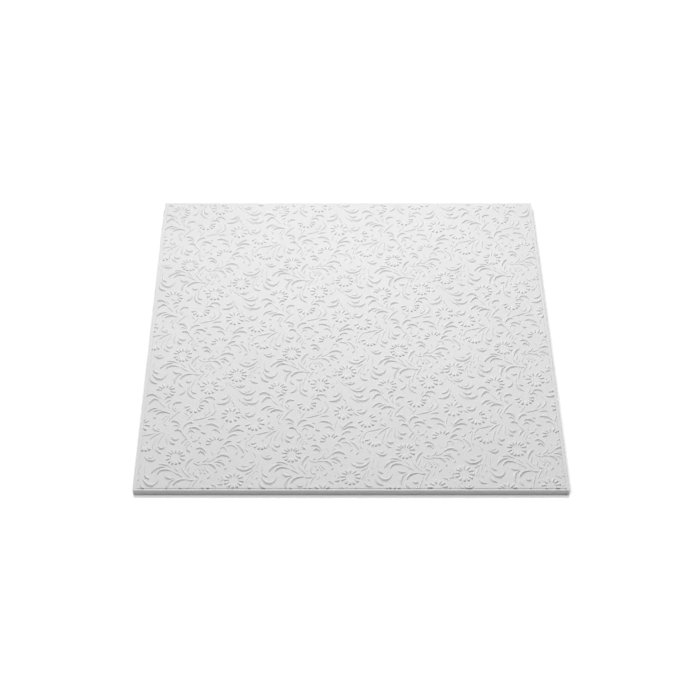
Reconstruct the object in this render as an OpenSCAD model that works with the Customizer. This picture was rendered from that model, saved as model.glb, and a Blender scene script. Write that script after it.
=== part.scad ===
// Foam ceiling tile: a square moulded board that lies face up, with a plain border,
// a slightly raised field, and an embossed repeat of daisies and curling leaves on it.
// Millimetres. +Z is up through the embossed face, +Y is the top of the pattern, and the
// origin is the middle of the flat back, the face that is glued to a ceiling.

/* [Board] */
// side of the square board
board_side = 500; // [300:5:700]
// thickness of the plain border
board_t = 8.4; // [7:0.2:20]
// radius of the four corners, seen from above
corner_r = 1.5; // [0.5:0.5:8]

/* [Field] */
// width of the plain border round the field
border_w = 4; // [2:0.5:20]
// step from the border up to the field
field_rise = 0.4; // [0.2:0.1:2]

/* [Relief] */
// height of the embossed ridges above the field
relief_h = 1.2; // [0.8:0.1:2.4]
// share of each leaf's drawn width that is raised
leaf_fullness = 1; // [0.6:0.05:1.3]
// distance from a daisy's middle to the inner end of its petals
petal_in = 5.2; // [4:0.2:7]
// distance from a daisy's middle to the outer end of its petals
petal_out = 11.8; // [9:0.2:16]
// width of a petal at its outer end
petal_w = 3.8; // [2:0.2:4.4]
// height of a petal at its inner end
petal_nose = 0.2; // [0.15:0.05:0.6]
// height of the pad under a daisy, above the field
pad_h = 0.1; // [0.05:0.05:0.4]

/* [Repeat] */
// step of the pattern from one repeat to the next, to the right
repeat_x = 132.4; // [100:0.1:180]
// how much that step climbs
climb_x = 5.2; // [-10:0.1:10]
// step of the pattern from one repeat to the next, to the front
repeat_y = 161.7; // [120:0.1:220]
// how much that step drifts to the right
drift_y = 2.4; // [-10:0.1:10]

/* [Roller pull] */
// sideways pull of the embossing at the left and right edges
pull_sides = 4.1; // [-8:0.1:8]
// sideways pull of the embossing across the corners
pull_corners = 1.1; // [-8:0.1:8]
// sideways pull of the embossing at the front and back edges
pull_ends = -0.9; // [-8:0.1:8]
// rise of the rows at the right, and fall at the left
pull_rows = 3.1; // [-8:0.1:8]
// how much the rows open out towards the front and back edges
pull_spread = 4.6; // [-8:0.1:8]

/* [Hidden] */

field_side = board_side - 2 * border_w;
field_z = board_t + field_rise;
face_z = field_z + relief_h;
// the pull is measured this far from the middle
pull_span = 250;
// how deep a ridge's foot is let into the field, so that both are one body
foot = 0.5;
// how far a daisy's pad reaches past its petals
pad_margin = 0.4;
// radius of a petal's round section at its outer end
petal_r = arc_r(petal_w, relief_h);
// the inner edge of a leaf is never straighter than this bow
least_bow = 0.2;
// flat allowed between a drawn arc and the true one
arc_tol = 0.08;
// fewest facets of a full circle
least_facets = 24;
// copies of the repeat that can reach the field, each way
copies_x = ceil(field_side / 2 / repeat_x) + 1;
copies_y = ceil(field_side / 2 / repeat_y) + 1;

// Leaves and stems of one repeat: thin end, crest half way, fat end, width.
LEAVES = [
    [[-6, 73], [7, 64.6], [17, 73], 4.4],
    [[-10, 80.5], [-2.5, 76.5], [4, 81.5], 4],
    [[9.3, 92], [12.2, 85.2], [19.3, 83.8], 4.2],
    [[20.5, -39.5], [8.5, -50.3], [-3.8, -44.3], 4.8],
    [[-4.5, -12.8], [2.6, -18], [5.8, -26.5], 4],
    [[-27.5, -34.3], [-18, -28.2], [-9.8, -33], 5.2],
    [[-8.3, -33.8], [-9.3, -35.8], [-10.2, -37.8], 3.6],
    [[-28, -39], [-20.3, -39], [-15, -44.3], 4],
    [[-35.5, -42.8], [-29.3, -43.2], [-25.2, -49.3], 4.2],
    [[-49.6, -56], [-47.2, -59.3], [-43.3, -60.4], 3.6],
    [[-23, -70.6], [-18.6, -70.2], [-16, -67.6], 3.8],
    [[-22.8, -75.3], [-26.2, -71.8], [-29.8, -71], 3.6],
    [[-14, 66], [-18.3, 58.8], [-24.3, 56.8], 4.2],
    [[-12.5, 64.5], [-17.6, 51.6], [-29.3, 49.6], 5.2],
    [[0.8, 61.2], [7.8, 55.8], [13.2, 60.8], 4.4],
    [[4.2, 54.2], [12.8, 49.8], [20.6, 56], 5],
    [[35.8, 61], [27.2, 68], [20, 63.3], 4.6],
    [[27.6, -51.5], [29.6, -57], [34.3, -59.8], 4.2],
    [[45, -59], [36, -68.9], [26, -59], 5.6],
    [[22, 98.5], [24.3, 89.3], [31.8, 85.3], 4.6],
    [[35.5, 57.3], [29.6, 60.2], [23.8, 51.3], 4.6],
    [[36, 46.4], [28.3, 44.5], [23.7, 38.7], 4.4],
    [[51, 37.3], [41, 40.8], [33.8, 35.6], 4.6],
    [[31.5, 33.6], [32.4, 31.5], [33.7, 29.8], 3.8],
    [[32, 18], [33.6, 13], [40.3, 10.2], 3.6],
    [[-93, -14.3], [-89.5, -20.5], [-84.6, -17.6], 4.8],
    [[-95.6, -19], [-92.7, -24.6], [-87.8, -27.4], 3.8],
    [[25.3, -27.8], [32.5, -33.7], [39.2, -30.2], 4.4],
    [[-18.2, -14.8], [-14.6, -9.2], [-8.6, -8], 4.6],
    [[-15.6, -6.8], [-9.8, 1], [-2, 1], 3.8],
    [[-12.3, 3.8], [-3.6, 9.5], [5, 6.3], 4.2],
    [[-14, 3], [-7.4, 13.6], [0.4, 16.6], 4.8],
    [[-21.8, 0.8], [-26.2, 8.6], [-33.2, 8.3], 3.8],
    [[-23.4, 10.4], [-31.2, 17.5], [-40, 16], 5],
    [[-35, 50.6], [-29.7, 39.5], [-36.8, 29.3], 3.6],
    [[3.4, 34.2], [11.2, 30.2], [17, 38.2], 5],
    [[-80.2, 45], [-76.6, 51], [-69.6, 50], 5.2],
    [[-69.4, 13.8], [-74.3, 21.1], [-80.7, 19.7], 5.2],
    [[-66, 2.6], [-70.5, 8], [-75.8, 6.1], 4.6],
    [[-65.9, 9.3], [-61.6, 18.7], [-54.1, 18.6], 4.8],
    [[-60.2, 8.9], [-52.8, 12.2], [-45.8, 7.6], 4.6],
    [[-45.3, 6.3], [-42.8, 4.2], [-38.6, 3.4], 4],
    [[-47.3, -5.3], [-50.3, -7.8], [-54.2, -8.8], 3.6],
    [[-47, -8.5], [-45.7, -10.2], [-43.7, -11.4], 3.8],
    [[-79.4, -1.3], [-74.7, -7], [-69.4, -4.4], 5.2],
    [[-80.4, -6.8], [-77.8, -11.9], [-73.3, -13.4], 4.6],
    [[-59.3, -5], [-64.4, -8], [-66.1, -13.4], 3.6],
    [[-60, -18.5], [-58.5, -22.4], [-55.2, -24.5], 4.2],
    [[-37.3, -27.3], [-42.4, -19], [-49.7, -20.8], 4.2],
    [[-38.4, -29.8], [-42.2, -24.2], [-46.5, -26.5], 4.6],
    [[-59.9, -50], [-57.3, -39.2], [-50.7, -34.1], 4.4],
    [[-75.3, -47.5], [-82.8, -43.8], [-90.2, -44.1], 3.6],
    [[-81, -47.3], [-91.2, -49], [-97.4, -57.8], 4.8],
    [[-72.5, -54], [-84.8, -51.4], [-90.8, -58.9], 4.2],
    [[-71.3, -62.7], [-77.6, -63.2], [-81.8, -59.2], 5],
    [[-71.8, 97.6], [-79.8, 91], [-80, 79.8], 4.2],
    [[-57.5, 97.2], [-69.2, 95.4], [-74.6, 85], 4.6],
    [[-75.2, 86], [-74.2, 80], [-70.3, 76.1], 4],
    [[-60.1, 85.9], [-64.3, 83.7], [-67.9, 87], 4.8],
    [[-60.4, 73.4], [-58.3, 67.2], [-53.8, 66.2], 4.4],
    [[-64.4, 75], [-67.8, 66.5], [-74.5, 62.6], 4],
    [[-61.5, 81.5], [-63.1, 66], [-53.7, 57], 4],
    [[-53.9, 84.5], [-52.8, 82.6], [-51.2, 80.8], 3.6],
    [[-30.8, 54.8], [-36.6, 60.4], [-44, 57], 4.8],
    [[-49.5, 49.8], [-43.4, 54.4], [-38.1, 50.3], 4],
    [[42.7, 60.2], [45.4, 64.4], [50.2, 64.2], 4.4],
];
// Daisies of one repeat: middle, and the direction of each petal in degrees.
DAISIES = [
    [[-6.5, 97.5], [90, 58, 27, -8, -40, -68, -94, -121, -153, 177, 145, 119]],
    [[-38.9, 77], [102, 68, 43, 12, -27, -63, -89, -114, -147, 175, 137]],
    [[42.5, 74.2], [165, 137, 113, 82, 52, 26, -8, -38]],
    [[-55, 46.5], [-167, -138, -110, -79, -51, -24, 2]],
    [[-11.3, 32.8], [100, 66, 25, -24, -58, -90, -119, -156, 166, 130]],
    [[16.7, 20.2], [57, 33, -8, -48, -76, -102, -126, -159]],
    [[-27.3, -11], [-172, 158, 131, 100, 69, 43]],
    [[25, -8.5], [-166, -131, -104, -81, -58]],
    [[-71.7, -32], [91, 66, 45, 14, -25, -58, -83, -107, -131, -158, 165, 138, 116]],
];

// Radius of an arc over a chord with a given bow.
function arc_r(chord, bow) = (chord * chord / 4 + bow * bow) / (2 * bow);

// Facets that keep a circle within arc_tol of the true one.
function facets(r) = max(least_facets, ceil(180 / acos(1 - arc_tol / max(r, 2 * arc_tol))));

// Where the embossing puts a point of the pattern on the board.
function pull(p) = let (u = p[0] / pull_span, v = p[1] / pull_span) [
    pull_sides * u * u + pull_corners * u * v + pull_ends * v * v,
    pull_rows * pow(u, 3) - pull_spread * pow(v, 3)
];
function placed(p) = p - pull(p - pull(p));

// 1 when a round area lies wholly on the field, 0 when it meets the field's edge, -1 when it
// is off the field.
function on_field(p, reach) =
    let (far = max(abs(p[0]), abs(p[1])))
    far + reach < field_side / 2 ? 1 : (far - reach < field_side / 2 ? 0 : -1);

// Middles of the copies of the repeat.
copies = [
    for (i = [-copies_x : copies_x], j = [-copies_y : copies_y])
        [i * repeat_x + j * drift_y, i * climb_x - j * repeat_y]
];

// Every leaf on the board: thin end, crest half way, fat end, width, and where it lies.
leaves = [
    for (at = copies, one = LEAVES)
        let (
            a = placed(one[0] + at),
            crest = placed(one[1] + at),
            b = placed(one[2] + at),
            mid = (a + b) / 2,
            reach = norm(b - a) / 2 + norm(crest - mid) + one[3] / 2,
            where = on_field(mid, reach)
        )
        if (where >= 0) [a, crest, b, one[3] * leaf_fullness, where]
];

// Every daisy on the board: middle, petal directions, and where it lies.
daisies = [
    for (at = copies, one = DAISIES)
        let (
            middle = placed(one[0] + at),
            where = on_field(middle, petal_out + pad_margin)
        )
        if (where >= 0) [middle, one[1], where]
];

// A square with round corners.
module round_square(side, r) {
    square([side - 2 * r, side], center = true);
    square([side, side - 2 * r], center = true);
    for (x = [-1, 1], y = [-1, 1])
        translate([x * (side / 2 - r), y * (side / 2 - r)])
            circle(r = r, $fn = facets(r));
}

// The disk whose edge passes both ends of a chord on the X axis and rises to the bow.
module bow_disk(chord, bow) {
    r = arc_r(chord, abs(bow));
    translate([0, sign(bow) * (abs(bow) - r)])
        circle(r = r, $fn = facets(r));
}

// A leaf's outline: what lies between its outer and its inner arc, ends on the X axis.
module leaf_outline(chord, bow, w) {
    inner = bow - w / 2;
    if (inner > 0)
        difference() {
            bow_disk(chord, bow + w / 2);
            bow_disk(chord, max(inner, least_bow));
        }
    else
        intersection() {
            bow_disk(chord, bow + w / 2);
            bow_disk(chord, min(inner, -least_bow));
        }
}

// One leaf, raised from the field between three points on the board.
module leaf(a, crest, b, w) {
    along = b - a;
    chord = norm(along);
    mid = (a + b) / 2;
    bow = ((crest - mid) * [-along[1], along[0]]) / chord;
    translate([mid[0], mid[1], field_z - foot])
        rotate(atan2(along[1], along[0]))
            mirror([0, bow < 0 ? 1 : 0, 0])
                linear_extrude(height = foot + relief_h)
                    leaf_outline(chord, abs(bow), w);
}

// The low round pad that a daisy's petals stand on, reaching down past the sunk petals.
module pad() {
    depth = 2 * petal_r - relief_h + foot;
    translate([0, 0, -depth])
        cylinder(h = depth + pad_h, r = petal_out + pad_margin, $fn = facets(petal_out));
}

// One petal along +X: a cone that lies sunk in the field, so that a low rounded wedge is left,
// narrow at the daisy's middle, and full and steep at the outer end.
module petal() {
    sunk = petal_r - relief_h;
    translate([petal_in, 0, -sunk])
        rotate([0, 90, 0])
            cylinder(h = petal_out - petal_in, r1 = sunk + petal_nose, r2 = petal_r, $fn = least_facets);
}

// A daisy: the pad and its petals, joined in one step.
module daisy(middle, turns) {
    translate([middle[0], middle[1], field_z])
        for (k = [-1 : len(turns) - 1])
            if (k < 0) pad();
            else rotate(turns[k]) petal();
}

// The leaves wholly on the field (where 1), or those across its edge (where 0).
module leaf_set(where) {
    for (one = leaves)
        if (one[4] == where)
            leaf(one[0], one[1], one[2], one[3]);
}

// The daisies wholly on the field (where 1), or those across its edge (where 0).
module daisy_set(where) {
    for (one = daisies)
        if (one[2] == where)
            daisy(one[0], one[1]);
}

// The whole board in one piece.
module tile() {
    color("white")
        union() {
            linear_extrude(height = board_t)
                round_square(board_side, corner_r);
            linear_extrude(height = field_z)
                square([field_side, field_side], center = true);
            leaf_set(1);
            daisy_set(1);
            intersection() {
                linear_extrude(height = face_z)
                    square([field_side, field_side], center = true);
                union() {
                    leaf_set(0);
                    daisy_set(0);
                }
            }
        }
}

tile();
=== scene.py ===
# %% [markdown]
# # A foam ceiling tile
# The tile is one piece of white expanded foam: a square board with a plain border, a field that
# stands a little higher, and an embossed repeat of daisies and curling leaves on that field.
# The board comes from the CAD part, in the same frame: metres, +Z out of the embossed face, +Y
# towards the top of the pattern, and the origin in the middle of the flat back. Everything here
# keeps that frame, so the finished pieces need no move, turn or scale.

import math

import bmesh
import bpy
import numpy as np
from mathutils import Matrix, Vector


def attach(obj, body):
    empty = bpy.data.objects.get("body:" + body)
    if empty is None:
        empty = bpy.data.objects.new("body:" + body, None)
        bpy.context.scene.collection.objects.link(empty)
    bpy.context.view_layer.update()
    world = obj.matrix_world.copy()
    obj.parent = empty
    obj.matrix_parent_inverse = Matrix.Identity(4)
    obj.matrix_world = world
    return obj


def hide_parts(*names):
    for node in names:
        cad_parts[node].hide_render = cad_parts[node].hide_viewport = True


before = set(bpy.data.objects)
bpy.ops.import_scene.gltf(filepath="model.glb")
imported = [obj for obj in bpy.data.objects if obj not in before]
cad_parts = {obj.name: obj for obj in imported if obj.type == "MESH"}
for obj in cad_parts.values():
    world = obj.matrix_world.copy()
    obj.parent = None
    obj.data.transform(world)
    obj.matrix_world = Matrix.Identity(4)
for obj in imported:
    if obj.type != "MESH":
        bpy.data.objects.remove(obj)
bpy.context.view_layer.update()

# %% [markdown]
# ## The sizes
# They are the ones of the CAD part. The border's top is at 8.4 mm, the field stands 0.4 mm over
# it, and the highest crests reach 1.2 mm over the field, so the whole tile is 10 mm thick.
# Lengths are in millimetres, as a tile maker gives them, and become metres when a mesh is made.

# %% Sizes
MM = 0.001
BOARD_SIDE = 500.0
BOARD_T = 8.4
BORDER_W = 4.0
FIELD_RISE = 0.4
RELIEF_H = 1.2
FIELD_Z = BOARD_T + FIELD_RISE
FIELD_HALF = BOARD_SIDE / 2 - BORDER_W
print("field", 2 * FIELD_HALF, "mm wide, crests at", FIELD_Z + RELIEF_H, "mm")

# %% [markdown]
# ## The repeat
# A roller or plate presses the same drawing again and again. One repeat is kept as a short list
# read from the photograph: each leaf or stem is a thin end, a point half way along its
# crest, a fat end and a width, and each daisy is a middle and the directions of its petals. They
# could be drawn as curves by hand as well; three points and a width are enough because every
# leaf is a simple comma or crescent.

# %% The drawing of one repeat
LEAVES = np.array([
    (-6, 73, 7, 64.6, 17, 73, 4.4),
    (-19, 86, -12.7, 79.2, -6, 72.5, 2.4),
    (2, 69.5, 8, 69.8, 10, 75.5, 3),
    (-10, 80.5, -2.5, 76.5, 4, 81.5, 4),
    (-4.5, 80, -1.5, 80.3, 0, 83, 2.6),
    (-12.4, 83, -11, 83.3, -9.6, 84.4, 2.2),
    (9.3, 92, 12.2, 85.2, 19.3, 83.8, 4.2),
    (12.3, 96.5, 14, 94, 15.8, 91.8, 2.8),
    (18, 98.7, 19.2, 100.8, 21, 103, 2.8),
    (12.5, 106.5, 8.6, 100, 6.8, 92.5, 2.6),
    (11.5, 99, 9.8, 95.5, 9.4, 91, 2),
    (20, -49.5, 16.8, -55.5, 15.6, -62, 2.2),
    (24, -34, 22.6, -41, 20.6, -48, 2),
    (28.2, -38, 27.6, -45, 27.8, -52, 2),
    (20.5, -39.5, 8.5, -50.3, -3.8, -44.3, 4.8),
    (17.5, -50, 12.5, -53.4, 7.6, -56.3, 2.8),
    (11.5, -44.6, 6.8, -44.8, 2.8, -43, 3.2),
    (19, -35.8, 15, -38.6, 11.8, -38.7, 3.2),
    (-1.3, -22, -2.2, -25, -3.8, -27.5, 3.2),
    (-4.5, -12.8, 2.6, -18, 5.8, -26.5, 4),
    (6, -25.5, 5.2, -29.3, 2.3, -32.3, 3.2),
    (-1.4, -22, -6.6, -14.6, -14.8, -15.6, 3),
    (-22.8, -20, -17, -17.2, -14.6, -23.5, 3.4),
    (-20.3, -21.3, -22.6, -24, -24.8, -27.3, 2.2),
    (-27.5, -34.3, -18, -28.2, -9.8, -33, 5.2),
    (-8.3, -33.8, -9.3, -35.8, -10.2, -37.8, 3.6),
    (-36, -39, -31, -36.8, -26.8, -33.6, 2.2),
    (-23.5, -36.7, -20.5, -35.9, -17.8, -36.2, 2.2),
    (-28, -39, -20.3, -39, -15, -44.3, 4),
    (-25.5, -43, -22.3, -43, -19.8, -45.8, 3.2),
    (-13, -44.8, -14, -47, -15.3, -49.3, 3.4),
    (-35.5, -42.8, -29.3, -43.2, -25.2, -49.3, 4.2),
    (-52.3, -37.8, -48.6, -42, -42.5, -43.8, 2.6),
    (-43.5, -43.7, -39.5, -42, -34.5, -42.8, 2.4),
    (-23.3, -49.8, -24.4, -52, -25.6, -54.3, 3.2),
    (-39.8, -46.3, -35.8, -50.2, -33, -54.8, 3),
    (-37.8, -52.7, -37.3, -54.4, -37.6, -56.3, 3),
    (-41, -52, -41.7, -54, -42.4, -56, 3.4),
    (-46.8, -45.8, -43.8, -49.4, -41.2, -52.8, 2.2),
    (-43, -46.8, -39.8, -50, -37.6, -53.3, 2.2),
    (-46.8, -48.8, -49.6, -52.8, -49.2, -57, 2.8),
    (-49.6, -56, -47.2, -59.3, -43.3, -60.4, 3.6),
    (-42.5, -61.5, -47.6, -67.4, -50.5, -75.5, 2.8),
    (-38.8, -61, -40, -65, -42.6, -68.5, 2.4),
    (-30.6, -56, -31.9, -59.6, -34.2, -62.8, 3.4),
    (-20.3, -58.3, -16.7, -62.2, -20, -67, 2.8),
    (-22.3, -61.5, -21.3, -62.7, -21.2, -64.2, 2),
    (-23, -70.6, -18.6, -70.2, -16.4, -67.9, 3.8),
    (-22.8, -75.3, -26.2, -71.8, -29.8, -71, 3.6),
    (-20.7, 76, -23, 73, -26.3, 71.3, 3.4),
    (-23.7, 80.3, -24.3, 78.3, -25.5, 76.2, 2.4),
    (-21, 86, -18.4, 81.4, -19.5, 76.5, 2),
    (-14, 66, -18.3, 58.8, -24.3, 56.8, 4.2),
    (-13, 64.5, -17.6, 51.6, -29.3, 49.6, 5.2),
    (-11.6, 60, -11, 54, -8, 49.3, 3.2),
    (-9.2, 45.6, -8, 46.3, -6.8, 47.6, 2.4),
    (0.8, 61.2, 7.8, 55.8, 13.2, 60.8, 4.4),
    (3.6, 53.2, 12.8, 49.8, 20.6, 56, 5),
    (-4, 57.5, 1.7, 52.2, 8.6, 46.6, 3.2),
    (35.8, 61, 27.2, 68, 20, 63.3, 4.6),
    (27.6, -51.5, 29.6, -57, 34.3, -59.8, 4.2),
    (45, -59, 36, -68.9, 26, -59, 5.6),
    (22.5, 98.5, 24.3, 89.3, 31.8, 85.3, 4.6),
    (35.5, 57.3, 29.6, 60.2, 23.8, 51.3, 4.6),
    (34.8, 58, 39.4, 52.8, 43.8, 47.5, 2.8),
    (36, 46.4, 28.3, 44.5, 23.7, 38.7, 4.4),
    (41, 43.7, 35, 43, 30, 39.7, 3.4),
    (51, 37.3, 41, 40.8, 33.8, 35.6, 4.6),
    (31.5, 33.6, 32.4, 31.5, 33.7, 29.8, 3.8),
    (32, 17.5, 33, 20.3, 35.3, 23, 3),
    (32, 18, 33.6, 13, 40.3, 10.2, 3.6),
    (36.2, 16.8, 37.8, 14.6, 39.8, 12.8, 2.6),
    (36, 7.3, 27, 4.8, 17.5, 2.2, 3),
    (18.5, 2.5, 13.3, -2, 11.5, -9, 2.8),
    (44.5, 9.3, 36.5, 5, 28.8, -3, 3),
    (28.3, -5.4, 27, -6.3, 25.4, -6.6, 3),
    (39.5, 2, 35.8, -4.5, 34, -13, 2.4),
    (48, 9, 42.8, 2, 39.5, -8, 2.4),
    (-93, -14.3, -89.5, -20.5, -84.6, -17.6, 4.8),
    (-95.6, -19, -92.7, -24.6, -87.8, -27.4, 3.8),
    (-98.4, -12, -98.7, -17, -97.4, -22, 2.6),
    (29.3, -28.6, 32.8, -29.6, 36, -26.8, 3),
    (25.3, -27.8, 32.5, -33.7, 39.2, -30.2, 4.4),
    (15.3, -23.2, 18.2, -26.5, 19.3, -31.5, 2.6),
    (7.2, -16.5, 8.4, -20.5, 10.2, -23.8, 3),
    (10.8, -2.3, 8, -8.5, 7.2, -17, 2.4),
    (8.9, -1.9, 7.2, -2.9, 5.8, -4.6, 2.8),
    (10.8, -10.6, 11.3, -12.9, 12.6, -14.9, 3.4),
    (8.2, 4.8, 9.9, 3.3, 12, 2.8, 3.2),
    (-3.8, -10, -0.4, -8.6, 1.4, -5.2, 3.4),
    (-18.2, -14.8, -14.6, -9.2, -8.6, -8, 4.6),
    (-15, -6.3, -9.8, 1, -2, 1, 3.8),
    (-12.8, 3.8, -3.6, 9.5, 5, 6.3, 4.2),
    (-14, 3, -7.4, 13.6, 0.4, 16.6, 4.8),
    (-16.3, 12.3, -14.8, 10.3, -13.9, 8, 2.4),
    (-21.2, 8, -20.5, 15, -17.7, 20.4, 2.6),
    (-21.8, 0.8, -26.2, 8.6, -33.2, 8.3, 3.8),
    (-23.4, 10.4, -31.2, 17.5, -40, 16, 5),
    (-35, 50.6, -29.7, 39.5, -36.8, 29.3, 3.6),
    (-36, 29.8, -45, 26.2, -56, 23, 3),
    (-39.3, 45, -36.3, 38, -42.4, 30.3, 3),
    (-41.4, 36.6, -41.9, 35, -42.8, 33.6, 2.2),
    (-39.6, 24.2, -33.8, 25.9, -27.8, 26, 3.2),
    (-5.6, 46, -1, 39.5, 0.4, 33, 2.4),
    (0.3, 33.8, 2.4, 29.9, 7, 26.6, 3.4),
    (3.4, 34.2, 11.2, 30.2, 17, 38.2, 5),
    (4.6, 35.3, 8, 35.2, 10.5, 38, 3.2),
    (-80.2, 45, -76.6, 51, -69.6, 50, 5.2),
    (-80.2, 47, -79.6, 41, -75.2, 36.6, 3),
    (-83.6, 50, -84.7, 45.5, -82.8, 41, 2.4),
    (-75.9, 43.6, -76.5, 42, -76.9, 40.4, 2.4),
    (-85, 30, -88.9, 26.6, -90.3, 22, 3),
    (-82, 29.5, -86.6, 24, -87.8, 18.5, 2.4),
    (-88.8, 19.3, -87.3, 16.3, -85.3, 13, 3.2),
    (-69.5, 37.2, -78, 30.3, -83.4, 19.8, 3.4),
    (-69.4, 13.8, -74.3, 21.1, -80.7, 19.7, 5.2),
    (-69.6, 10.3, -73.6, 15, -77.8, 13.2, 3.4),
    (-66, 2.6, -70.5, 8, -75.8, 6.1, 4.6),
    (-68, 5.3, -64.6, 0.5, -61, -4.6, 3),
    (-65.9, 9.3, -61.6, 18.7, -54.1, 18.6, 4.8),
    (-66.3, 35, -63, 32.8, -61.3, 28.8, 2.4),
    (-55.3, 34, -59, 28.3, -62.8, 22.3, 2.4),
    (-60.2, 8.9, -52.8, 12.2, -45.8, 7.6, 4.6),
    (-45.3, 6.3, -42.8, 4.2, -38.6, 3.4, 4),
    (-61.2, 0.8, -57.4, 7.4, -52.2, 4, 3.2),
    (-49, 15.9, -46.6, 14.7, -44.4, 14.8, 3.2),
    (-53.8, 1.2, -56, -1.8, -54, -4.6, 2.8),
    (-45.2, -0.6, -46, -2.4, -47.4, -4, 2.4),
    (-47.3, -5.3, -50.3, -7.8, -54.2, -8.8, 3.6),
    (-47, -8.5, -45.7, -10.2, -43.7, -11.4, 3.8),
    (-79.4, -1.3, -74.7, -7, -69.4, -4.4, 5.2),
    (-80.4, -6.8, -77.8, -11.9, -73.3, -13.4, 4.6),
    (-81.4, 3.2, -83.7, -5.5, -81.7, -13.8, 3.2),
    (-59.3, -5, -64.4, -8, -66.1, -13.4, 3.6),
    (-58.2, -8.2, -61.2, -11.4, -62.1, -15.8, 2.6),
    (-55.8, -11.3, -59.2, -15.2, -59.9, -20, 2.6),
    (-60, -18.5, -58.5, -22.4, -55.2, -24.5, 4.2),
    (-55.6, -13.7, -55.1, -15.3, -54.2, -16.8, 2.6),
    (-36.3, -27.6, -42.4, -19, -49.7, -20.8, 4.2),
    (-38.4, -29.8, -42.2, -24.2, -46.5, -26.5, 4.6),
    (-34.7, -28, -36, -34.8, -42, -40, 3),
    (-43.8, -36.8, -45, -38.7, -46.8, -39.8, 3),
    (-59.9, -50, -57.3, -39.2, -50.7, -34.1, 4.4),
    (-57.1, -54.3, -56.2, -48.6, -54.3, -43.5, 3.2),
    (-53.4, -53.4, -53.9, -55, -54, -56.8, 2.2),
    (-52.3, -62.7, -59.6, -55.2, -64.4, -46, 2.8),
    (-66, -55, -69.4, -50.4, -73.9, -45.7, 2.6),
    (-75.3, -47.5, -82.8, -43.8, -90.2, -44.1, 3.6),
    (-81, -47.3, -91.2, -49, -97.4, -57.8, 4.8),
    (-72.5, -54, -84.8, -51.4, -90.8, -58.9, 4.2),
    (-74, -53.4, -67.8, -56.8, -61.6, -61.2, 3),
    (-71.3, -62.7, -77.6, -63.2, -81.8, -59.2, 5),
    (-71.8, 97.6, -79.8, 91, -80, 79.8, 4.2),
    (-60, 97.8, -55.2, 96.2, -50, 96.8, 3.2),
    (-57.5, 97.2, -69.2, 95.4, -74.4, 87.4, 4.6),
    (-75.2, 86, -74.2, 80, -70.3, 76.1, 4),
    (-60.1, 85.9, -64.3, 83.7, -67.9, 87, 4.8),
    (-53.3, 94, -58, 84.5, -60.2, 73, 2.8),
    (-60.4, 73.4, -58.3, 67.2, -53.8, 66.2, 4.4),
    (-66.6, 74.2, -69.2, 66.4, -74.5, 62.6, 4),
    (-61.5, 81.5, -63.1, 66, -53.7, 57, 4),
    (-53.9, 84.5, -52.8, 82.4, -51.2, 80.2, 3.6),
    (-45.6, 64.3, -47.3, 59, -49.6, 53.2, 2.6),
    (-30.8, 54.8, -36.6, 60.4, -44, 57, 4.8),
    (-49.5, 49.8, -43.4, 54.4, -38.1, 50.3, 4),
    (45.2, 68.8, 42, 69.4, 39.2, 71.6, 2.6),
    (42.7, 60.2, 45.4, 64.4, 50.2, 64.2, 4.4),
    (44.1, 53.2, 46, 58.1, 49.8, 58.6, 3.4),
    (49.5, 45.2, 47.4, 50.8, 49.8, 54.8, 2.8),
    (34, 68.8, 35.8, 64.8, 37.7, 61, 2.2),
    (-32.6, -22.2, -30.2, -24.8, -29.3, -28.6, 2.2),
    (-33.4, -35.8, -34.3, -37.2, -35.8, -38.6, 2.2),
    (20.8, -49.8, 21.4, -51.2, 22, -52.6, 2.2),
])
DAISIES = (
    ((-6.5, 97.5), (90, 58, 27, -8, -40, -68, -94, -121, -153, 177, 145, 119)),
    ((-38.9, 77), (102, 68, 43, 12, -27, -63, -89, -114, -147, 175, 137)),
    ((42.5, 74.2), (165, 137, 113, 82, 52, 26, -8, -38)),
    ((-55, 46.5), (-167, -138, -110, -79, -51, -24, 2)),
    ((-11.3, 32.8), (100, 66, 25, -24, -58, -90, -119, -156, 166, 130)),
    ((16.7, 20.2), (57, 33, -8, -48, -76, -102, -126, -159)),
    ((-27.3, -11), (-172, 158, 131, 100, 69, 43)),
    ((25, -8.5), (-166, -131, -104, -81, -58)),
    ((-71.7, -32), (91, 66, 45, 14, -25, -58, -83, -107, -131, -158, 165, 138, 116)),
)
print(len(LEAVES), "leaves and stems,", sum(len(d[1]) for d in DAISIES), "petals in one repeat")

# %% [markdown]
# ## The pull of the press
# The repeats follow each other on a slanted lattice of two steps. On the board they aren't quite
# straight: the rows climb to the right and open out towards the front and back. A quadratic and
# a cubic give that pull, so the drawing lands where the photograph has it. The pull is measured
# where a point ends up and not where it starts, so it is worked out twice. On this tile the
# whole drawing and the edge of the field also lie a little off the board's middle.

# %% Placing a point of the drawing
STEP_X = np.array([132.4, 5.2])
STEP_Y = np.array([2.4, -161.7])
OFFSET = np.array([0.3, -0.9])


def pull(p):
    """Shift in mm of points p (..., 2), where u, v = p / half the board's side.

    Across: 4.1 u^2 + 1.1 u v - 0.9 v^2. Along: 3.1 u^3 - 4.6 v^3.
    """
    u, v = p[..., 0] / (BOARD_SIDE / 2), p[..., 1] / (BOARD_SIDE / 2)
    return np.stack(
        [4.1 * u * u + 1.1 * u * v - 0.9 * v * v, 3.1 * u**3 - 4.6 * v**3], axis=-1
    )


def placed(p):
    """The board point of a drawing point: p - pull(p - pull(p)), and the offset of the whole."""
    return p - pull(p - pull(p)) + OFFSET


I, J = np.meshgrid(np.arange(-3, 4), np.arange(-3, 4), indexing="ij")
COPIES = I.reshape(-1, 1) * STEP_X + J.reshape(-1, 1) * STEP_Y


def near_field(points, reach):
    """True where a round area of this reach touches the field square."""
    return (np.abs(points).max(axis=-1) - reach) < FIELD_HALF


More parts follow.
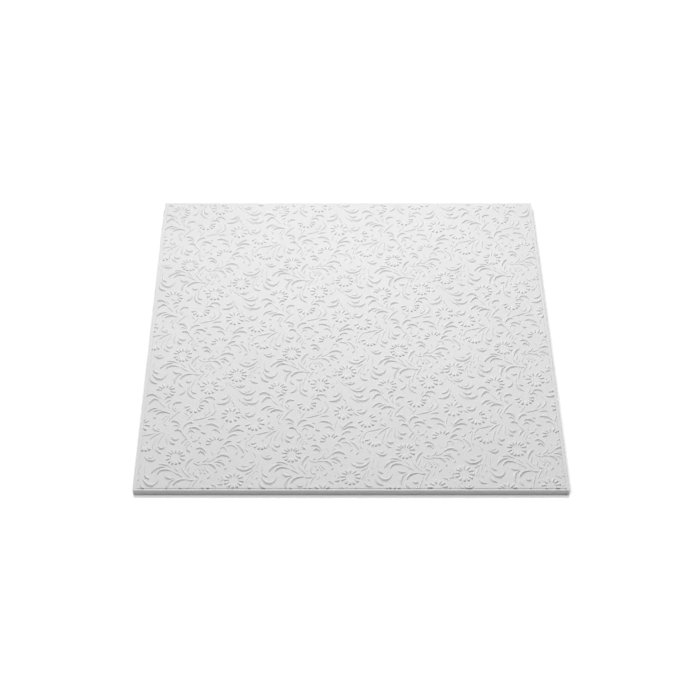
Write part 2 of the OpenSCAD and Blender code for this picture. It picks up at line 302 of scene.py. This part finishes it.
print(len(COPIES), "copies of the repeat to choose from")

# %% [markdown]
# ## The section of a ridge
# Across its width a leaf is a low ridge. Its crest leans a little towards the back of the board,
# and the slope is full on that side and hollow on the other: in the photograph each leaf has a
# narrow dark line in front and a soft light one behind. A bevelled curve could only give a round
# rod, so the section is worked out from its own formula, at five ribs across the ridge. The
# flanks start a little under the field, and one more line of points, the keel, closes the
# underside inside the board, so that every leaf is a closed body of its own.

# %% Section and keel
RIBS = np.array([-1.0, -0.48, 0.0, 0.48, 1.0])
LEAN = 0.2
FOOT = 0.06
KEEL = 0.4


def section(lean):
    """Share of the height at each rib: 1 - |rib|^(1.3 + 3 lean) on the side the crest leans to.

    On the other side the power is 1.3 - 3 lean, so the slope is hollow there.
    """
    return 1 - np.abs(RIBS) ** (1.3 + 3.0 * lean * np.sign(RIBS))


def risen(high, share):
    """Height in mm on the board: from FOOT under the field to high over it, by share 0 to 1."""
    return FIELD_Z - FOOT + (high + FOOT) * share


def with_keel(upper):
    """The points upper (n, rows, ribs, 3) and a last column under the crest, KEEL down."""
    crest = len(RIBS) // 2
    keel = upper[:, :, crest : crest + 1].copy()
    keel[..., 2] = FIELD_Z - KEEL
    return np.concatenate([upper, keel], axis=2)


print("section upright:", section(0.0).round(2), "leaned:", section(LEAN).round(2))

# %% [markdown]
# ## Every leaf as one ridge
# A leaf follows a parabola through its three points. The board has about two thousand of them,
# so they aren't modelled one by one: the path gives a grid of stations by ribs, the same for
# every leaf, and one array of shape (leaves, stations, ribs, 3) holds them all. The width runs
# as a sine with its peak past the middle, which gives the comma its thin stem and its blunt end.

# %% Ridge along a path
STATIONS = 8
PEAK_POWER = 1.2


def ridge_grid(start, half_way, end, width, top):
    """Points (n, STATIONS, ribs + keel, 3) in mm.

    Path: (1-t)^2 start + 2 t (1-t) q + t^2 end with q = 2 half_way - (start + end) / 2, at
    stations t that lie closer together near the ends. Swell: sin(pi t^PEAK_POWER).
    Half width: width / 2 * swell^0.8. Height: top * swell^0.5 * section(rib).
    The crest stands lean * half width off the path, where lean = LEAN * (side . +Y).
    """
    t = 0.5 - 0.5 * np.cos(np.pi * np.linspace(0, 1, STATIONS) ** 0.9)
    q = 2 * half_way - (start + end) / 2
    tt = t[None, :, None]
    path = (1 - tt) ** 2 * start[:, None] + 2 * tt * (1 - tt) * q[:, None] + tt**2 * end[:, None]
    way = 2 * (1 - tt) * (q - start)[:, None] + 2 * tt * (end - q)[:, None]
    way /= np.linalg.norm(way, axis=-1, keepdims=True)
    side = np.stack([-way[..., 1], way[..., 0]], axis=-1)
    swell = np.clip(np.sin(np.pi * t**PEAK_POWER), 0, 1)
    half = width[:, None] / 2 * swell**0.8
    high = top[:, None] * swell**0.5
    lean = LEAN * side[..., 1:]
    across = lean + RIBS * (1 - np.sign(RIBS) * lean)
    xy = path[:, :, None] + side[:, :, None] * (half[..., None] * across)[..., None]
    z = risen(high[..., None], section(lean))
    return with_keel(np.concatenate([xy, z[..., None]], axis=-1))


print("a leaf has", STATIONS, "stations of", len(RIBS) + 1, "points")

# %% [markdown]
# Each leaf is then placed once for every copy of the repeat that reaches the field. Narrow stems
# are lower than fat leaves. The broad leaves look deeper in the photograph than 1.2 mm makes
# them, but a higher crest would stand out of the part's thickness. So every point also keeps a
# number, its rise, and the material adds it to the bump: the slopes of the broad leaves are
# shaded as if they were steeper, and the mesh stays inside the part.

# %% Leaves on the board
FULL_HEIGHT_FROM = 4.0
DEEP = 0.6
DEEP_FROM, DEEP_TO = 3.7, 5.5

start, half_way, end = (
    placed(LEAVES[None, :, k : k + 2] + COPIES[:, None]).reshape(-1, 2) for k in (0, 2, 4)
)
width = np.tile(LEAVES[:, 6], len(COPIES))
keep = near_field(half_way, np.linalg.norm(end - start, axis=1) / 2 + width)
start, half_way, end, width = start[keep], half_way[keep], end[keep], width[keep]
top = RELIEF_H * np.clip(width / FULL_HEIGHT_FROM, 0.3, 1) ** 1.1
leaf_points = ridge_grid(start, half_way, end, width, top)
deeper = DEEP * np.clip((width - DEEP_FROM) / (DEEP_TO - DEEP_FROM), 0, 1)
leaf_rise = deeper[:, None, None] * np.clip(leaf_points[..., 2] - FIELD_Z, 0, None)
print(len(start), "leaves on the board, the highest at", leaf_points[..., 2].max().round(2), "mm")

# %% [markdown]
# ## Petals
# A petal is a short straight wedge: narrow and flat at the daisy's middle, widest and highest at
# its outer end, where it drops steeply. It could be a small box with its corners pulled, but the
# grid of ribs makes it too, with five rows and a swell of its own, and all petals come at once.

# %% Petals
PETAL_IN, PETAL_OUT, PETAL_W = 5.2, 11.8, 3.8
PETAL_ROWS = np.array([0.0, 0.12, 0.55, 0.93, 1.0])
PETAL_WIDE = np.array([0.3, 0.42, 0.78, 1.0, 0.86])
PETAL_HIGH = np.array([0.02, 0.8, 0.97, 0.97, 0.05])
PETAL_ROUND = 0.35


def petal_grid(middle, turn):
    """Points (n, rows, ribs + keel, 3) in mm of wedges along the direction turn (radians).

    Along: from PETAL_IN to PETAL_OUT, and PETAL_ROUND * rib^2 shorter in the last two rows.
    Across: half the width of the row * rib. Height: that of the row * (1 - rib^2).
    """
    x = (PETAL_IN + (PETAL_OUT - PETAL_IN) * PETAL_ROWS)[:, None] + 0 * RIBS
    x[-2:] -= PETAL_ROUND * RIBS**2
    y = (PETAL_W / 2 * PETAL_WIDE)[:, None] * RIBS
    c, s = np.cos(turn)[:, None, None], np.sin(turn)[:, None, None]
    px = middle[:, 0, None, None] + c * x - s * y
    py = middle[:, 1, None, None] + s * x + c * y
    z = np.broadcast_to(risen((RELIEF_H * PETAL_HIGH)[:, None], 1 - RIBS**2), px.shape)
    return with_keel(np.stack([px, py, z], axis=-1))


petal_middle = np.concatenate([np.tile(d[0], (len(d[1]), 1)) for d in DAISIES])
petal_turn = np.radians(np.concatenate([d[1] for d in DAISIES]))
middle = placed(petal_middle[None] + COPIES[:, None]).reshape(-1, 2)
keep = near_field(middle, PETAL_OUT)
petal_points = petal_grid(middle[keep], np.tile(petal_turn, len(COPIES))[keep])
print(len(petal_points), "petals on the board")

# %% [markdown]
# ## Faces for the grids
# Each grid is a tube: its rows follow the path, and its columns run over the ribs and back along
# the keel. Quads join the rows. A leaf's first and last row shrink to a point, so a fan of
# triangles closes it there, and a petal's ends are closed with one flat face each. All tubes
# have the same faces, so one set is made and its numbers are moved on from tube to tube.


# %% Faces of closed tubes
def grid_faces(count, rows, columns, pointed=False):
    """Quads of count closed tubes, rows by columns points each, and the faces of their ends.

    An end is one flat face, or, if pointed, a fan from the first point of the end row.
    """
    skip = int(pointed)
    r, c = np.meshgrid(np.arange(skip, rows - 1 - skip), np.arange(columns), indexing="ij")
    r, c = r.ravel() * columns, c.ravel()
    n = (c + 1) % columns
    quads = np.stack([r + c, r + columns + c, r + columns + n, r + n], axis=1)
    ring = np.arange(columns)
    after = (ring + 1) % columns
    last = (rows - 1) * columns
    if pointed:
        ends = np.concatenate([
            np.stack([0 * ring, columns + ring, columns + after], axis=1),
            np.stack([last + 0 * ring, last - columns + after, last - columns + ring], axis=1),
        ])
    else:
        ends = np.stack([ring, last + ring[::-1]])
    step = (np.arange(count) * rows * columns)[:, None, None]
    return (quads[None] + step).reshape(-1, 4), (ends[None] + step).reshape(-1, ends.shape[1])


leaf_quads, leaf_ends = grid_faces(len(leaf_points), *leaf_points.shape[1:3], pointed=True)
petal_quads, petal_ends = grid_faces(len(petal_points), *petal_points.shape[1:3])
print(len(leaf_quads) + len(leaf_ends), "leaf faces,", len(petal_quads), "petal quads")

# %% [markdown]
# ## One mesh, cut at the field's edge
# Leaves and petals go into one mesh, because on the real tile they are one skin of foam. The
# press stops at the edge of the field, so what crosses it is cut there with four planes and the
# cuts are closed. A boolean with a box would do the same, but far more slowly.

# %% Relief mesh
RELIEF_CREASE = math.radians(50)


def mesh_from(name, points, faces):
    """A new object from points in mm and lists of faces."""
    mesh = bpy.data.meshes.new(name)
    mesh.from_pydata((points * MM).tolist(), [], [f for part in faces for f in part.tolist()])
    mesh.update()
    obj = bpy.data.objects.new(name, mesh)
    bpy.context.scene.collection.objects.link(obj)
    return obj


leaf_count = leaf_rise.size
relief = mesh_from(
    "relief",
    np.concatenate([leaf_points.reshape(-1, 3), petal_points.reshape(-1, 3)]),
    [leaf_quads, leaf_ends, petal_quads + leaf_count, petal_ends + leaf_count],
)
rise = np.zeros(len(relief.data.vertices), dtype=np.float32)
rise[:leaf_count] = leaf_rise.ravel() * MM
relief.data.attributes.new("rise", "FLOAT", "POINT").data.foreach_set("value", rise)

bm = bmesh.new()
bm.from_mesh(relief.data)
bmesh.ops.delete(bm, geom=[v for v in bm.verts if not v.link_faces], context="VERTS")
for nx, ny in ((1, 0), (-1, 0), (0, 1), (0, -1)):
    cut = bmesh.ops.bisect_plane(
        bm,
        geom=bm.verts[:] + bm.edges[:] + bm.faces[:],
        plane_co=((nx * FIELD_HALF + OFFSET[0]) * MM, (ny * FIELD_HALF + OFFSET[1]) * MM, 0),
        plane_no=(nx, ny, 0),
        clear_outer=True,
    )
    edges = [g for g in cut["geom_cut"] if isinstance(g, bmesh.types.BMEdge)]
    bmesh.ops.holes_fill(bm, edges=edges, sides=0)
bmesh.ops.recalc_face_normals(bm, faces=bm.faces[:])
bm.to_mesh(relief.data)
bm.free()
relief.data.shade_smooth()
relief.data.set_sharp_from_angle(angle=RELIEF_CREASE)
relief.data.calc_loop_triangles()
print("relief triangles:", len(relief.data.loop_triangles))

# %% [markdown]
# ## The board
# The board could be a box with bevels. A profile carried round a square is as easy and gives
# every edge its own rounding: the back's edge, the wall, the softened top edge, the plain
# border, the groove where the press sank in, the step and the field. Each ring is the same
# square with its own inset and height, so the grid of rings by points closes with one face at
# the back and one on the field. The rings beside the top edge keep its shading narrow.

# %% Board mesh
CORNER_STEPS = 6
BOARD_CREASE = math.radians(60)
PROFILE = (  # inset, corner radius and height in mm, and 1 where the ring takes the offset
    (0.2, 1.3, 0.0, 0),
    (0.0, 1.5, 0.2, 0),
    (0.0, 1.5, BOARD_T - 0.5, 0),
    (0.0, 1.5, BOARD_T - 0.2, 0),
    (0.04, 1.45, BOARD_T - 0.06, 0),
    (0.2, 1.3, BOARD_T, 0),
    (0.5, 1.1, BOARD_T, 0),
    (BORDER_W - 0.9, 0.9, BOARD_T, 1),
    (BORDER_W - 0.5, 0.8, BOARD_T - 0.05, 1),
    (BORDER_W - 0.1, 0.6, BOARD_T, 1),
    (BORDER_W, 0.5, BOARD_T + FIELD_RISE * 0.7, 1),
    (BORDER_W + 0.15, 0.5, FIELD_Z - 0.03, 1),
    (BORDER_W + 0.5, 0.5, FIELD_Z, 1),
)


def square_ring(inset, corner, z, moved):
    """Points (4 * (CORNER_STEPS + 1), 3) of a square with round corners at height z.

    Each corner is a quarter circle of radius corner, about a centre that lies inset + corner
    in from the board's sides; moved is the share of the OFFSET that the ring takes.
    """
    a = np.linspace(0, math.pi / 2, CORNER_STEPS + 1)
    k = np.arange(4)[:, None] * math.pi / 2
    centre = BOARD_SIDE / 2 - inset - corner
    cx = centre * np.array([1, -1, -1, 1])[:, None]
    cy = centre * np.array([1, 1, -1, -1])[:, None]
    x = cx + corner * np.cos(a + k) + moved * OFFSET[0]
    y = cy + corner * np.sin(a + k) + moved * OFFSET[1]
    return np.stack([x.ravel(), y.ravel(), np.full(x.size, z)], axis=1)


rings = np.stack([square_ring(*row) for row in PROFILE])
count = rings.shape[1]
r, c = np.meshgrid(np.arange(len(PROFILE) - 1) * count, np.arange(count), indexing="ij")
r, c = r.ravel(), c.ravel()
n = (c + 1) % count
walls = np.stack([r + c, r + n, r + count + n, r + count + c], axis=1)
caps = np.stack([np.arange(count)[::-1], (len(PROFILE) - 1) * count + np.arange(count)])
board = mesh_from("board", rings.reshape(-1, 3), [walls, caps])
board.data.shade_smooth()
board.data.set_sharp_from_angle(angle=BOARD_CREASE)
print("board box in mm:", rings.min(axis=(0, 1)).round(2), rings.max(axis=(0, 1)).round(2))

# %% [markdown]
# ## The foam's grain
# Expanded foam is thousands of little beads pressed together: their seams show as fine lines and
# pin holes, and the skin between them is never quite even. A shader group gives that as numbers
# between 0 and 1, from the object's own coordinates: one output is a height for the bump, the
# other a tone. The same could be painted as a picture, but numbers stay sharp at any size.


# %% Helpers for nodes
def add(tree, kind, **values):
    """A node of a kind. Each value sets a property or a socket, or is a socket to link there."""
    node = tree.nodes.new(kind)
    for name, value in values.items():
        if hasattr(node, name):
            setattr(node, name, value)
            continue
        socket = node.inputs[name.replace("_", " ")]
        if isinstance(value, bpy.types.NodeSocket):
            tree.links.new(value, socket)
        else:
            socket.default_value = value
    return node


def math_node(tree, operation, a, b):
    """The output of a (operation) b, where each is a socket or a number."""
    node = add(tree, "ShaderNodeMath", operation=operation)
    for socket, value in zip(node.inputs, (a, b)):
        if isinstance(value, (int, float)):
            socket.default_value = value
        else:
            tree.links.new(value, socket)
    return node.outputs[0]


def blend(tree, first, share, second, other_share):
    """The output of first * share + second * other_share."""
    return math_node(
        tree,
        "ADD",
        math_node(tree, "MULTIPLY", first, share),
        math_node(tree, "MULTIPLY", second, other_share),
    )


def group(name, inputs, outputs):
    """A node group with a vector input, float inputs (name: default) and float outputs."""
    tree = bpy.data.node_groups.new(name, "ShaderNodeTree")
    tree.interface.new_socket("Vector", in_out="INPUT", socket_type="NodeSocketVector")
    for key, value in inputs.items():
        item = tree.interface.new_socket(key, in_out="INPUT", socket_type="NodeSocketFloat")
        item.default_value = value
    for key in outputs:
        tree.interface.new_socket(key, in_out="OUTPUT", socket_type="NodeSocketFloat")
    g_in, g_out = tree.nodes.new("NodeGroupInput"), tree.nodes.new("NodeGroupOutput")
    return tree, {socket.name: socket for socket in g_in.outputs if socket.name}, g_out.inputs


print("helpers: add, math_node, blend, group")

# %% Bead grain group
SEAM_WIDTH = 0.16
grain, given, result = group(
    "Bead grain", {"Bead size": 0.0022, "Seams": 0.5, "Skin": 0.5}, ("Height", "Tone")
)
per_metre = math_node(grain, "DIVIDE", 1.0, given["Bead size"])
beads = add(
    grain,
    "ShaderNodeTexVoronoi",
    feature="DISTANCE_TO_EDGE",
    Vector=given["Vector"],
    Scale=per_metre,
    Randomness=1.0,
)
seam = add(grain, "ShaderNodeMapRange", Value=beads.outputs["Distance"], From_Max=SEAM_WIDTH)
seam = seam.outputs["Result"]
skin = add(
    grain,
    "ShaderNodeTexNoise",
    Vector=given["Vector"],
    Scale=math_node(grain, "MULTIPLY", per_metre, 1.7),
    Detail=3.0,
    Roughness=0.6,
).outputs["Fac"]
grain.links.new(blend(grain, seam, given["Seams"], skin, given["Skin"]), result["Height"])
grain.links.new(blend(grain, seam, 0.4, skin, 0.6), result["Tone"])
print("group:", grain.name, list(given))

# %% [markdown]
# Handled foam is never one white: it has broad soft patches where it was pressed a little more
# or less, and a trace of dust. A second group gives those patches from a slow noise, so that
# they can be made larger or fainter without touching the beads.

# %% Soft patches group
patches, given, result = group("Soft patches", {"Patch size": 0.09, "Contrast": 1.0}, ("Mask",))
cloud = add(
    patches,
    "ShaderNodeTexNoise",
    Vector=given["Vector"],
    Scale=math_node(patches, "DIVIDE", 1.0, given["Patch size"]),
    Detail=2.0,
    Roughness=0.5,
)
centred = math_node(patches, "SUBTRACT", cloud.outputs["Fac"], 0.5)
spread = math_node(patches, "MULTIPLY", centred, given["Contrast"])
patches.links.new(math_node(patches, "ADD", spread, 0.5), result["Mask"])
print("group:", patches.name, list(given))

# %% [markdown]
# ## The foam
# The foam is matt and almost white. Its tone runs between a white and a light grey by the beads
# and the patches. One bump carries the pits between the beads and the rise of the broad leaves,
# both as heights in metres. The board has no rise of its own, so the attribute reads 0 there,
# and one material serves both pieces.

# %% Foam material
FOAM_WHITE, FOAM_GREY = 0.84, 0.74
PIT_DEPTH = 0.00026
MIX_A, MIX_B, MIX_RESULT = 6, 7, 2  # the colour sockets of a Mix node

foam = bpy.data.materials.new("foam")
foam.use_nodes = True
tree = foam.node_tree
shader = tree.nodes["Principled BSDF"]
shader.inputs["Roughness"].default_value = 0.82
shader.inputs["Specular IOR Level"].default_value = 0.25
where = add(tree, "ShaderNodeTexCoord").outputs["Object"]
beads = add(
    tree, "ShaderNodeGroup", node_tree=grain, Vector=where, Bead_size=0.0021, Seams=0.5, Skin=0.6
)
soft = add(
    tree, "ShaderNodeGroup", node_tree=patches, Vector=where, Patch_size=0.09, Contrast=1.0
)
mix = add(tree, "ShaderNodeMix", data_type="RGBA")
mix.inputs[MIX_A].default_value = (*[FOAM_GREY] * 3, 1.0)
mix.inputs[MIX_B].default_value = (*[FOAM_WHITE] * 3, 1.0)
tree.links.new(blend(tree, beads.outputs["Tone"], 0.6, soft.outputs["Mask"], 0.4), mix.inputs[0])
tree.links.new(mix.outputs[MIX_RESULT], shader.inputs["Base Color"])
rise_node = add(tree, "ShaderNodeAttribute", attribute_name="rise")
pits = math_node(tree, "MULTIPLY", beads.outputs["Height"], PIT_DEPTH)
height = math_node(tree, "ADD", pits, rise_node.outputs["Fac"])
bump = add(tree, "ShaderNodeBump", Strength=1.0, Distance=1.0, Height=height)
tree.links.new(bump.outputs["Normal"], shader.inputs["Normal"])

for piece in (board, relief):
    piece.data.materials.append(foam)
    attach(piece, "root")
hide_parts("tile")
print("foam on", [piece.name for piece in (board, relief)])

# %% [markdown]
# ## The floor
# The tile lies on a ground that is white up to its edges, with a short soft shadow
# in front and at the right. A white floor under a plain light would come out grey, and a
# stronger light would burn out the tile. So the floor is plain paper to every ray but the
# camera's. What the camera sees is a diffuse floor that is brighter with distance, so that open
# ground is just white and the shadow stays, and further out a plain glow of white. Right in
# front of the tile the floor is brighter still and glows a little: painted light that makes the
# tile's cast shadow there lighter and shorter.

# %% Floor
FLOOR_HALF = 40.0
PAPER = 0.95
GROUND, GROWTH = 0.985, 1.3  # brightness at BRIGHT_FROM, and its growth per square metre
BRIGHT_FROM = (0, 0.2, 0)
FRONT_EDGE = (-0.246, -0.254)
# painted light in the tile's front shadow: a gain on the floor's colour and a faint glow there
FRONT_PAINTED_GAIN, FRONT_PAINTED_LIGHT = 0.6, 0.2
GLOW, GLOW_RING = 1.1, (0.38, 0.46)

floor_mesh = bpy.data.meshes.new("floor")
corners = [(x * FLOOR_HALF, y * FLOOR_HALF, 0) for x, y in ((-1, -1), (1, -1), (1, 1), (-1, 1))]
floor_mesh.from_pydata(corners, [], [(0, 1, 2, 3)])
floor = bpy.data.objects.new("floor", floor_mesh)
bpy.context.scene.collection.objects.link(floor)
paper = bpy.data.materials.new("paper")
paper.use_nodes = True
tree = paper.node_tree
plain = tree.nodes["Principled BSDF"]
plain.inputs["Base Color"].default_value = (PAPER, PAPER, PAPER, 1)
plain.inputs["Roughness"].default_value = 0.9
plain.inputs["Specular IOR Level"].default_value = 0.0
where = add(tree, "ShaderNodeTexCoord").outputs["Object"]


def distance_from(point):
    """Distance in metres of the shaded point from a point on the floor."""
    node = add(tree, "ShaderNodeVectorMath", operation="DISTANCE")
    node.inputs[1].default_value = point
    tree.links.new(where, node.inputs[0])
    return node.outputs["Value"]


def ramp(value, low, high):
    """0 where value is low, 1 where it is high, and straight between them."""
    node = add(tree, "ShaderNodeMapRange", Value=value, From_Min=low, From_Max=high)
    return node.outputs["Result"]


reach = distance_from(BRIGHT_FROM)
grown = math_node(tree, "MULTIPLY", math_node(tree, "MULTIPLY", reach, reach), GROWTH)
even = math_node(tree, "ADD", grown, GROUND)
# Painted light: in front of the tile the floor is made brighter and glows faintly, so the tile's
# cast shadow there is lighter and shorter.
painted_front_mask = ramp(add(tree, "ShaderNodeSeparateXYZ", Vector=where).outputs["Y"], *FRONT_EDGE)
painted_front_gain = math_node(tree, "ADD", math_node(tree, "MULTIPLY", painted_front_mask, FRONT_PAINTED_GAIN), 1.0)
lit = add(tree, "ShaderNodeBsdfDiffuse", Color=math_node(tree, "MULTIPLY", even, painted_front_gain))
painted_front_light = add(tree, "ShaderNodeEmission", Strength=math_node(tree, "MULTIPLY", painted_front_mask, FRONT_PAINTED_LIGHT))
glow = add(tree, "ShaderNodeEmission", Strength=GLOW)
print("floor", 2 * FLOOR_HALF, "m wide")


# %% Floor as the camera sees it
def shaders(kind, first, second, share=None):
    """The output of a Mix Shader (with its share) or an Add Shader of two shader nodes."""
    node = add(tree, kind)
    if share is not None:
        tree.links.new(share, node.inputs[0])
    tree.links.new(first, node.inputs[-2])
    tree.links.new(second, node.inputs[-1])
    return node.outputs[0]


near = shaders("ShaderNodeAddShader", lit.outputs[0], painted_front_light.outputs[0])
far = ramp(distance_from((0, 0, 0)), *GLOW_RING)
seen = shaders("ShaderNodeMixShader", near, glow.outputs[0], far)
by_camera = add(tree, "ShaderNodeLightPath").outputs["Is Camera Ray"]
whole = shaders("ShaderNodeMixShader", plain.outputs[0], seen, by_camera)
tree.links.new(whole, tree.nodes["Material Output"].inputs["Surface"])
floor_mesh.materials.append(paper)
print("floor material:", paper.name)

# %% [markdown]
# ## Light
# In the photograph the front wall is darker than the face and the right side throws the longer
# shadow, so the light is a large soft one from above and behind, a little to the left. Several
# lamps could do it, but one panel keeps the slopes of the leaves clear, and a weak white world
# fills the shadows, as the walls of a studio do.

# %% Light
WORLD_STRENGTH = 0.24
LAMP_PLACE = (-0.079, 0.566, 1.103)
LAMP_AIM = (0.849, -2.754, 0)
LAMP_SIDE = 0.9
LAMP_WATTS = 19.8

world = bpy.data.worlds.new("studio")
bpy.context.scene.world = world
world.use_nodes = True
background = world.node_tree.nodes["Background"]
background.inputs["Color"].default_value = (1, 1, 1, 1)
background.inputs["Strength"].default_value = WORLD_STRENGTH
panel = bpy.data.lights.new("top light", "AREA")
panel.shape = "SQUARE"
panel.size = LAMP_SIDE
panel.energy = LAMP_WATTS
lamp = bpy.data.objects.new("top light", panel)
lamp.location = LAMP_PLACE
aim = Vector(LAMP_AIM) - Vector(LAMP_PLACE)
lamp.rotation_euler = aim.to_track_quat("-Z", "Y").to_euler()
bpy.context.scene.collection.objects.link(lamp)
print("panel of", LAMP_SIDE, "m,", LAMP_WATTS, "W")

# %% [markdown]
# ## Camera
# The camera stands where the photograph's four corners and the front wall put it: 46.3 degrees
# above the horizon, straight in front, 1.94 m away, with the picture shifted a little. It could
# be aimed with a constraint, but then the small side steps would be hard to see; here its three
# axes and its place are the columns of one matrix.

# %% Camera
ELEVATION = math.radians(46.311)
DISTANCE, STEP_LEFT, STEP_DOWN = 1.93964, 0.020657, 0.020017
PICTURE, FOCAL, SHIFT = 700, 1545.38, 16.92  # pixels
SENSOR = 36.0  # mm

back = Vector((0, -math.cos(ELEVATION), math.sin(ELEVATION)))
right = Vector((1, 0, 0))
up = back.cross(right)
eye = back * DISTANCE - right * STEP_LEFT - up * STEP_DOWN + Vector((0, 0, BOARD_T * MM))
camera_data = bpy.data.cameras.new("camera")
camera_data.sensor_width = SENSOR
camera_data.lens = FOCAL / PICTURE * SENSOR
camera_data.shift_x = SHIFT / PICTURE
camera = bpy.data.objects.new("camera", camera_data)
camera.matrix_world = Matrix((
    (right.x, up.x, back.x, eye.x),
    (right.y, up.y, back.y, eye.y),
    (right.z, up.z, back.z, eye.z),
    (0, 0, 0, 1),
))
bpy.context.scene.collection.objects.link(camera)
bpy.context.scene.camera = camera
bpy.context.scene.view_settings.view_transform = "Standard"
print("camera at", [round(v, 4) for v in eye])
